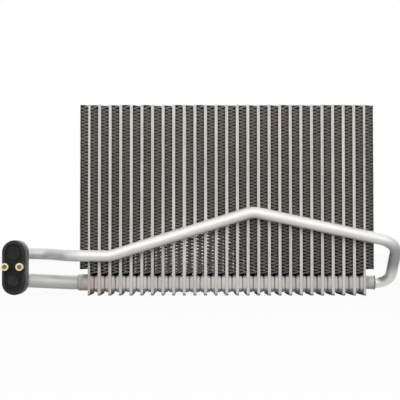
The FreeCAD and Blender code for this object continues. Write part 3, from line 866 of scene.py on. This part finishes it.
def make_fin(low, high, name):
    """Fold a fin between two heights, centred on x = 0."""
    waves = round((high - low) / WAVE)
    wave = (high - low) / waves
    fin = fold_wave(low, wave)
    add_modifier(
        fin, "ARRAY", count=waves, use_relative_offset=False, use_constant_offset=True,
        constant_offset_displace=(0, 0, wave), use_merge_vertices=True, merge_threshold=NEAR)
    open_mesh(fin)
    pick("EDGE", lambda e: not e.is_boundary and all(abs(v.co.x) > FIN_REACH - NEAR for v in e.verts))
    bevel(CREST_FLAT, 1)
    bpy.ops.object.mode_set(mode="OBJECT")
    add_modifier(fin, "SOLIDIFY", thickness=FIN_SHEET, offset=0)
    open_mesh(fin)
    close_mesh()
    return settle(fin, name)


inner_fin = make_fin(FIN_LOW, FIN_HIGH, "inner_fin")
outer_fin = make_fin(END_FIN_LOW, FIN_HIGH, "outer_fin")
print("fin faces:", len(inner_fin.data.polygons), len(outer_fin.data.polygons))

# %% [markdown]
# ## No two fins alike
# Folds lie a little up or down, and each fin sags slightly in its middle, so one can't look straight through.
# The last leg is bent down onto the cups, and between the two cup rows it hangs lower, as a dark sheet that
# stands in for shade. The top one ends where the strip was cut. Code is the easier way here, because all this
# follows one number: how many legs a vertex lies above the fin's lower end.

# %% Write the ruffle
RUFFLE = 0.08 * MM
FIN_SAG = 2.9 * MM
FIN_TILT = 0.27 * MM
TOP_DROP = 1.1
FLAP_Z = 22.4 * MM
FLAP_SOFT = 0.15 * MM
SOFT_LIMIT = 50
# A dark sheet that stands in for shade: the last leg hangs to this height between the two cup rows.
SHADE_SHEET_Z = 18.6 * MM


def louver_lift(across, inset):
    """How far the louvers lift the sheet at each place of a fin."""
    rows, raised = np.array([(0, 0)] + LOUVER_ROWS).T
    lift = np.interp(inset, rows * MM, raised * LOUVER_LIFT)
    return lift * np.clip((FIN_REACH - np.abs(across)) / (FIN_REACH - LOUVER_EDGE), 0, 1)


def not_below(z, level):
    """Keep heights above a level, with a soft knee."""
    knee = np.log1p(np.exp(np.minimum((z - level) / FLAP_SOFT, SOFT_LIMIT)))
    return level + FLAP_SOFT * knee + np.maximum(z - level - SOFT_LIMIT * FLAP_SOFT, 0)


def ruffle(fin, seed, low, flap):
    """Shift each crest a little, sag the middle, bend the last leg down and level the top one."""
    random = np.random.default_rng(seed)
    places = np.empty(len(fin.data.vertices) * 3)
    fin.data.vertices.foreach_get("co", places)
    places = places.reshape(-1, 3)
    x, y, z = places.T.copy()
    inset = np.minimum(y - FRONT, BACK - y)
    across = x - (x.min() + x.max()) / 2
    rows = (z - louver_lift(across, inset) - low) / (WAVE / 2)
    legs = 2 * round(rows.max() / 2)
    shifts = random.normal(0, RUFFLE, legs + 2).clip(-2 * RUFFLE, 2 * RUFFLE)
    sags = FIN_SAG * random.uniform(0.9, 1.1, legs + 2)
    lower = np.clip(np.floor(rows).astype(int), 0, legs)
    blend = np.clip(rows - lower, 0, 1)
    shift = shifts[lower] * (1 - blend) + shifts[lower + 1] * blend
    sag = sags[lower] * (1 - blend) + sags[lower + 1] * blend
    depth = (y - FRONT) / (BACK - FRONT)
    z += shift * np.clip(rows / 2, 0, 1)
    z -= sag * np.sin(np.pi * depth) + FIN_TILT * depth
    z += np.clip(1 - np.abs(rows - (legs - 1)), 0, 1) * random.uniform(0.35, 1.0) * WAVE / 2
    z -= np.clip(rows - (legs - 1), 0, 1) * random.uniform(0.0, TOP_DROP) * MM
    z = np.minimum(z, FIN_HIGH)
    last_leg = (rows < 0.97) & (across < 0.93 * FIN_REACH)
    level = FLAP_Z if flap else low
    bent = np.interp(inset, [6 * MM, 30 * MM], [0, 1]) if flap else 0.85
    z = np.where(last_leg, z * (1 - bent) + (level + 0.3 * (z - low)) * bent, z)
    z = not_below(z, level)
    if flap:
        # The dark sheet that stands in for shade between the cup rows.
        z = np.where(last_leg & (inset > 31 * MM), SHADE_SHEET_Z, z)
    places[:, 2] = z
    fin.data.vertices.foreach_set("co", places.ravel())
    fin.data.update()


print("sag mm:", FIN_SAG / MM)

# %% [markdown]
# ## A fin for every gap
# The inner fins fill the gaps between the tubes. The two outer ones start higher, because they have no cups
# below them to lean on. Each fin is ruffled with its own seed.

# %% Place the fins
END_REACH = END_SKIN + AIR_GAP / 2
FIN_X = [TUBE_X[0] - END_REACH, *[x + PITCH / 2 for x in TUBE_X[:-1]], TUBE_X[-1] + END_REACH]
for i, x in enumerate(FIN_X):
    node = "fin_%02d" % (i + 1)
    outer = i in (0, TUBES)
    fin = copy_piece(outer_fin if outer else inner_fin, "air_" + node, (x, 0, 0))
    ruffle(fin, i, END_FIN_LOW if outer else FIN_LOW, flap=not outer)
    hand_in(fin, [node], FIN_METAL)
for spare in (inner_tube, skin_half, cupped_half, left_end, right_end, inner_fin, outer_fin):
    bpy.data.objects.remove(spare)
print("fins:", len(FIN_X))

# %% [markdown]
# ## The side plates
# A thin sheet covers each outer fin. From the front only its edge shows, a little bumpy where braze has
# run along it. So the sheet is cut into rows, and each row of its front edge is moved by a random bit.

# %% Model the side plates
LAST_FIN = "fin_%02d" % (TUBES + 1)
SIDE_SHEET = 0.8 * MM
SHEET_ROUND = 0.25 * MM
SHEET_ROWS = 48
RIPPLE = 0.1 * MM
RIPPLE_DEPTH = 1.5 * MM


def make_side_plate(name, node, side):
    """A thin sheet outside an outer fin, with a rippled front edge."""
    low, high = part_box(node)
    outer = low.x if side < 0 else high.x
    left, right = sorted((outer, outer - side * SIDE_SHEET))
    plate = add_box(name, (left, low.y, low.z), (right, high.y, high.z))
    height = high.z - low.z
    open_mesh(plate)
    for i in range(1, SHEET_ROWS):
        slice_at((0, 0, low.z + height * i / SHEET_ROWS), (0, 0, 1))
    pick("EDGE", lambda e: e.calc_face_angle(0) > 1)
    bevel(SHEET_ROUND, 2)
    bpy.ops.object.mode_set(mode="OBJECT")
    ripple = np.random.default_rng(90 + side).normal(0, RIPPLE, SHEET_ROWS + 1)
    for vertex in plate.data.vertices:
        row = round((vertex.co.z - low.z) / height * SHEET_ROWS)
        if vertex.co.y < low.y + RIPPLE_DEPTH:
            vertex.co.x -= side * abs(ripple[row])
    return settle(plate, name)


for name, node, side in (("side_plate_left", "fin_01", -1), ("side_plate_right", LAST_FIN, 1)):
    plate = make_side_plate(name, node, side)
    hand_in(plate, [node], SHEET_METAL)
    print(name, "faces:", len(plate.data.polygons))

# %% [markdown]
# ## Bending a pipe
# A pipe is made as a bender makes it. A ring is pulled along a run, spun round a bend, pulled along the next
# run and so on. The bender notes where each ring lies and how far along the pipe, so that each vertex gets
# its place on the straightened pipe.

# %% Write the pipe bender
PIPE_SIDES = 40
BEND_STEP = math.radians(6)


def bend_pipe(name, corners, radius):
    """Pull and spin a ring along corners, each a point and its bend radius."""
    place, ahead, run = corners[0][0], (corners[1][0] - corners[0][0]).normalized(), 0.0
    turn = ahead.to_track_quat("Z", "Y")
    side = turn @ Vector((1, 0, 0))
    bpy.ops.mesh.primitive_circle_add(
        vertices=PIPE_SIDES, radius=radius, location=place, rotation=turn.to_euler())
    pipe = bpy.context.object
    bpy.ops.object.transform_apply()
    open_mesh(pipe)
    pick_all()
    rings = [(place, ahead, side, run)]
    for (point, bend), (target, _) in zip(corners[1:-1], corners[2:]):
        following = (target - point).normalized()
        angle = ahead.angle(following)
        bend_start = point - ahead * bend * math.tan(angle / 2)
        push(*(bend_start - place))
        run += (bend_start - place).length
        rings.append((bend_start, ahead, side, run))
        axis = ahead.cross(following).normalized()
        centre = bend_start + axis.cross(ahead) * bend
        steps = max(2, round(angle / BEND_STEP))
        bpy.ops.mesh.spin(steps=steps, angle=-angle, center=centre, axis=axis, dupli=False)
        swing = Matrix.Rotation(angle / steps, 3, axis)
        place = bend_start
        for step in range(steps):
            place = centre + swing @ (place - centre)
            ahead, side = swing @ ahead, swing @ side
            run += bend * angle / steps
            rings.append((place, ahead, side, run))
    end = corners[-1][0]
    push(*(end - place))
    run += (end - place).length
    rings.append((end, ahead, side, run))
    merge_near(NEAR)
    pick("EDGE", lambda e: e.is_boundary)
    bpy.ops.mesh.fill_holes(sides=0)
    close_mesh()
    settle(pipe, name, 50)
    straighten(pipe, rings, radius)
    print(name, "length mm:", round(run / MM, 1), "faces:", len(pipe.data.polygons))
    return pipe


def straighten(pipe, rings, radius):
    """Give each vertex its place on the straightened pipe."""
    def miss(ring, point):
        arm = point - ring[0]
        return abs(arm.length - radius) + abs(arm.dot(ring[1]))

    straight = pipe.data.attributes.new("straightened", "FLOAT_VECTOR", "POINT")
    for index, vertex in enumerate(pipe.data.vertices):
        place, ahead, side, run = min(rings, key=lambda ring: miss(ring, vertex.co))
        arm = vertex.co - place
        straight.data[index].vector = (run, arm.dot(side), arm.dot(ahead.cross(side)))


print("bend step degrees:", round(math.degrees(BEND_STEP)))

# %% [markdown]
# ## The two pipes
# Both pipes join the rear header row. The liquid pipe leaves the block at the back, swings forward past the
# left side of the core, crosses it in a low chevron and turns back into the right end of the header. The
# suction pipe is a plain elbow.

# %% Bend the two pipes
LIQUID_OD = 12.7 * MM
SUCTION_OD = 16 * MM
SHY = 0.08 * MM
HEADER_Z = 13 * MM
block_low, block_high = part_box("connection_block")
BLOCK_X = (block_low.x + block_high.x) / 2
BLOCK_Z = (block_low.z + block_high.z) / 2
PORT_RISE = 0.4 * MM
PORT_SPACING = 30.4 * MM
UPPER_PORT_Z = BLOCK_Z + PORT_RISE + PORT_SPACING / 2
LOWER_PORT_Z = BLOCK_Z + PORT_RISE - PORT_SPACING / 2
SOCKET_Y = block_high.y - 6.7 * MM
CROSSING_Y = FRONT - 1.3 * MM - LIQUID_OD / 2
LEFT_ROOT, RIGHT_ROOT = TUBE_X[0] - END_SKIN, TUBE_X[-1] + END_SKIN
LIQUID_LIP = RIGHT_ROOT + 16.6 * MM
SUCTION_LIP = LEFT_ROOT - 14 * MM
SEAT = 9.7 * MM
TURN_X = LIQUID_LIP + 0.5 * MM + 16.3 * MM
SIDE_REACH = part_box(LAST_FIN)[1].x - CORE_X
DOGLEG_X = CORE_X - SIDE_REACH - 10.8 * MM
DOGLEG_SPAN = 26 * MM

# Corners of a route: x, y and z in metres, and the bend radius in millimetres.
liquid_route = [
    (BLOCK_X, SOCKET_Y, UPPER_PORT_Z, 0),
    (BLOCK_X, REAR_ROW_Y, UPPER_PORT_Z, 15),
    (DOGLEG_X - DOGLEG_SPAN, REAR_ROW_Y, 45 * MM, 16),
    (DOGLEG_X, CROSSING_Y, 43.8 * MM, 16),
    (DOGLEG_X + 44.1 * MM, CROSSING_Y, 43.4 * MM, 34),
    (CORE_X + 28.4 * MM, CROSSING_Y, 91.7 * MM, 27),
    (TURN_X, CROSSING_Y, 57.9 * MM, 21),
    (TURN_X, REAR_ROW_Y, HEADER_Z, 16.3),
    (LIQUID_LIP - SEAT, REAR_ROW_Y, HEADER_Z, 0),
]
suction_route = [
    (BLOCK_X, SOCKET_Y, LOWER_PORT_Z, 0),
    (BLOCK_X, REAR_ROW_Y, LOWER_PORT_Z, 18),
    (SUCTION_LIP - SUCTION_OD / 2, REAR_ROW_Y, HEADER_Z, 18),
    (SUCTION_LIP + SEAT, REAR_ROW_Y, HEADER_Z, 0),
]
for name, node, route, outside in (("crossing_liquid_pipe", "liquid_pipe", liquid_route, LIQUID_OD),
                                   ("lower_suction_pipe", "suction_pipe", suction_route, SUCTION_OD)):
    corners = [(Vector(place), bend * MM) for *place, bend in route]
    hand_in(bend_pipe(name, corners, outside / 2 - SHY), [node], PIPE_METAL)

# %% [markdown]
# ## Collars
# A short collar stands on each end plate, and the pipe is brazed into it. The collar is a turned ring with
# a rounded lip: a cylinder whose end face is inset and pushed back in to make the pipe's seat.

# %% Write the collar maker
LIP_ROUND = 0.5 * MM
SEAT_FIT = 0.1 * MM


def make_collar(name, root_x, lip_x, outer, bore):
    """A collar from the end plate out to its lip, with an open seat for the pipe."""
    side = 1 if lip_x > root_x else -1
    bpy.ops.mesh.primitive_cylinder_add(
        vertices=48, radius=outer, depth=abs(lip_x - root_x), rotation=(0, side * math.pi / 2, 0),
        location=((root_x + lip_x) / 2, REAR_ROW_Y, HEADER_Z))
    collar = settle(bpy.context.object, name)
    open_mesh(collar)
    pick_level("FACE", "x", lip_x)
    bpy.ops.mesh.inset(thickness=outer - bore)
    push(x=-side * SEAT)
    pick_level("EDGE", "x", lip_x)
    bevel(LIP_ROUND, 3)
    close_mesh()
    return settle(collar, name)


print("seat mm:", SEAT / MM)

# %% [markdown]
# ## Braze
# Where a collar meets the plate, and where the pipe leaves it, the braze has set in an uneven bead. Each bead
# is a thin ring whose section is swollen or shrunk by a random share, one for each step round it.

# %% Turn the collars and lay their beads
SUCTION_COLLAR = 18.5 / 2 * MM
LIQUID_COLLAR = 15.1 / 2 * MM
BEAD_STEPS = 72
BEAD_SPREAD = 0.16
BEAD_LIMITS = (0.7, 1.4)


def make_bead(name, x, radius, thick, seed):
    """An uneven ring of set braze."""
    centre = Vector((x, REAR_ROW_Y, HEADER_Z))
    bpy.ops.mesh.primitive_torus_add(
        location=centre, rotation=(0, math.pi / 2, 0), major_radius=radius, minor_radius=thick,
        major_segments=BEAD_STEPS, minor_segments=10)
    bead = settle(bpy.context.object, name, 60)
    bumps = np.random.default_rng(seed).normal(1, BEAD_SPREAD, BEAD_STEPS).clip(*BEAD_LIMITS)
    for vertex in bead.data.vertices:
        arm = vertex.co - centre
        around = math.atan2(arm.z, arm.y)
        ring = centre + Vector((0, math.cos(around), math.sin(around))) * radius
        step = int((around / math.tau % 1) * (BEAD_STEPS - 0.01))
        vertex.co = ring + (vertex.co - ring) * float(bumps[step])
    return bead


collars = {
    "tube_01": [
        make_collar("suction_collar", LEFT_ROOT, SUCTION_LIP, SUCTION_COLLAR, SUCTION_OD / 2 + SEAT_FIT),
        make_bead("suction_bead", LEFT_ROOT, SUCTION_COLLAR, 0.9 * MM, 5),
        make_bead("suction_lip_bead", SUCTION_LIP, SUCTION_OD / 2 + 0.3 * MM, 0.6 * MM, 6),
    ],
    "tube_%02d" % TUBES: [
        make_collar("liquid_collar", RIGHT_ROOT, LIQUID_LIP, LIQUID_COLLAR, LIQUID_OD / 2 + SEAT_FIT),
        make_bead("liquid_bead", RIGHT_ROOT, LIQUID_COLLAR, 0.7 * MM, 7),
        make_bead("liquid_lip_bead", LIQUID_LIP - 0.6 * MM, LIQUID_COLLAR - 0.2 * MM, 0.75 * MM, 8),
    ],
}
for node, pieces in collars.items():
    for piece in pieces:
        hand_in(piece, [node], BRAZE_METAL if "bead" in piece.name else COLLAR_METAL)
    print(node, "carries", [piece.name for piece in pieces])

# %% [markdown]
# ## The connection block
# The block is milled from bar: a slab with fully rounded ends, two pipe sockets behind and two screw holes
# in front. A box whose four long edges are bevelled by half its width gives the outline, and the holes are
# drilled with boolean cutters.

# %% Mill the block
SOCKET_DEPTH = 7 * MM
SCREW_SPACING = 16 * MM
SCREW_X = [BLOCK_X - SCREW_SPACING / 2, BLOCK_X + SCREW_SPACING / 2]
SCREW_Z = BLOCK_Z + 1 * MM
SCREW_HOLE = 5.3 / 2 * MM
SCREW_HOLE_DEPTH = 12.15 * MM
PAST = 5 * MM


def rounded_slab(name, node, front_y, back_y):
    """A slab with fully rounded ends, as wide and as high as a node's box."""
    low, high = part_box(node)
    slab = add_box(name, (low.x, front_y, low.z), (high.x, back_y, high.z))
    open_mesh(slab)
    pick("EDGE", lambda e: abs(e.verts[0].co.y - e.verts[1].co.y) > (back_y - front_y) / 2)
    bevel((high.x - low.x) / 2 - NEAR, 24)
    merge_near(3 * NEAR)
    close_mesh()
    return slab


block = rounded_slab("milled_block", "connection_block", block_low.y, block_high.y)
soften(block, 0.5 * MM)
for z, bore in ((UPPER_PORT_Z, LIQUID_OD), (LOWER_PORT_Z, SUCTION_OD)):
    radius = bore / 2 + SEAT_FIT
    cut_with(block, add_bar(BLOCK_X, z, radius, block_high.y - SOCKET_DEPTH, block_high.y + PAST))
for x in SCREW_X:
    cut_with(block, add_bar(x, SCREW_Z, SCREW_HOLE, block_low.y - PAST, block_low.y + SCREW_HOLE_DEPTH))
settle(block, "milled_block", 30)
hand_in(block, ["connection_block"], BLOCK_METAL)
print("block faces:", len(block.data.polygons))

# %% [markdown]
# ## The transport cap
# The cap is a moulding: a floor with a raised rim, a low pad over the upper port, a boss over the lower one
# and two holes for the screws. It starts from the same rounded slab. The recess is an inset that is pushed
# back in, and the pad and the boss are round bars that are joined to its floor.

# %% Mould the cap
cap_low, cap_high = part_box("transport_cap")
RIM_WIDTH = 3.6 * MM
RIM_HEIGHT = 2.5 * MM
CAP_ROUND = 1.3 * MM
CAP_FRONT = cap_low.y
CAP_FLOOR = CAP_FRONT + RIM_HEIGHT
# Each round form on the floor: its height above the feet, its radius, its rise and the width of its lip.
DISCS = [(UPPER_PORT_Z, 7 * MM, 1.2 * MM, 1.6 * MM), (LOWER_PORT_Z, 6 * MM, 2.0 * MM, 1.8 * MM)]
DISH = 0.5 * MM
ROOT = 1 * MM


def make_disc(z, radius, rise, lip):
    """A round form in the cap's floor, with a shallow dish in its face."""
    face_y = CAP_FLOOR - rise
    disc = settle(add_bar(BLOCK_X, z, radius, face_y, CAP_FLOOR + ROOT), "disc")
    open_mesh(disc)
    pick_level("FACE", "y", face_y)
    bpy.ops.mesh.inset(thickness=lip)
    push(y=DISH)
    close_mesh()
    soften(disc, 0.25 * MM)
    return disc


cap = rounded_slab("moulded_cap", "transport_cap", CAP_FRONT, cap_high.y)
open_mesh(cap)
pick_level("EDGE", "y", CAP_FRONT)
bevel(CAP_ROUND, 4)
pick_level("FACE", "y", CAP_FRONT)
bpy.ops.mesh.inset(thickness=RIM_WIDTH - CAP_ROUND)
push(y=RIM_HEIGHT)
close_mesh()
soften(cap, 0.35 * MM)
for disc in DISCS:
    cut_with(cap, make_disc(*disc), "UNION")
for x in SCREW_X:
    cut_with(cap, add_bar(x, SCREW_Z, SCREW_HOLE, CAP_FRONT - PAST, cap_high.y + PAST))
settle(cap, "moulded_cap", 40)
hand_in(cap, ["transport_cap"], CAP_PLASTIC)
print("cap faces:", len(cap.data.polygons))

# %% [markdown]
# ## Two socket-head screws
# Each screw is turned from a round bar: the head has a rounded rim and a hexagon socket with a bevelled
# mouth, and a plain shank runs back into the block. The faces of the socket get the number that the zinc
# reads, as painted shade, which is weaker near the mouth.

# %% Turn the screws
screw_low, screw_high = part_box("cap_screws")
HEAD_RADIUS = 8.5 / 2 * MM
HEAD_HEIGHT = 5 * MM
HEAD_ROUND = 0.45 * MM
SHANK_RADIUS = 5 / 2 * MM
KEY_RADIUS = 4 * MM / math.sqrt(3)
KEY_DEPTH = 2.5 * MM
MOUTH_DEPTH = 0.5 * MM
# The share of the painted shade at the socket's mouth.
MOUTH_SHADE_SHARE = 0.6


def socket_shade_at(x, place):
    """How much painted shade a face of a screw gets, by the place of its centre."""
    deep = place.y - screw_low.y
    off_axis = math.hypot(place.x - x, place.z - SCREW_Z)
    if off_axis >= KEY_RADIUS + 0.5 * MM or not 0.1 * MM < deep < KEY_DEPTH + NEAR:
        return 0.0
    return MOUTH_SHADE_SHARE if deep < MOUTH_DEPTH else 1.0


def make_screw(name, x):
    """A socket-head screw with its head's face towards the front."""
    face_y = screw_low.y
    seat_y = face_y + HEAD_HEIGHT
    screw = settle(add_bar(x, SCREW_Z, HEAD_RADIUS, face_y, seat_y, sides=64), name)
    open_mesh(screw)
    pick_level("EDGE", "y", face_y)
    bevel(HEAD_ROUND, 3)
    pick_level("FACE", "y", seat_y)
    bpy.ops.mesh.inset(thickness=HEAD_RADIUS - SHANK_RADIUS)
    push(y=screw_high.y - seat_y)
    close_mesh()
    cut_with(screw, add_bar(x, SCREW_Z, KEY_RADIUS, face_y - KEY_DEPTH, face_y + KEY_DEPTH, sides=6))
    open_mesh(screw)
    pick("EDGE", lambda e: all(
        abs(v.co.y - face_y) < NEAR and math.hypot(v.co.x - x, v.co.z - SCREW_Z) < KEY_RADIUS + NEAR
        for v in e.verts))
    bevel(HEAD_ROUND, 1)
    close_mesh()
    socket = screw.data.attributes.new("socket", "FLOAT", "FACE")
    for face in screw.data.polygons:
        # Each face of the socket gets its painted shade.
        socket.data[face.index].value = socket_shade_at(x, face.center)
    return settle(screw, name, 30)


for name, x in zip(("left_screw", "right_screw"), SCREW_X):
    screw = make_screw(name, x)
    hand_in(screw, ["cap_screws"], SCREW_METAL)
    print(name, "faces:", len(screw.data.polygons))

# %% [markdown]
# ## Sizes at the end
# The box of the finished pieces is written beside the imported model's box, so the two can be compared.

# %% Write the sizes and finish
bpy.ops.object.select_all(action="DESELECT")
shown = list(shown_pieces())
triangles = {o.name: sum(len(p.vertices) - 2 for p in o.data.polygons) for o in shown}
print("pieces:", len(shown), "triangles:", sum(triangles.values()), "largest:", max(triangles.values()))


def plain(box):
    """A box as rounded numbers."""
    return [[round(value, 6) for value in corner] for corner in box]


{"cad": plain(CAD_BOX), "visual": plain(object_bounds())}
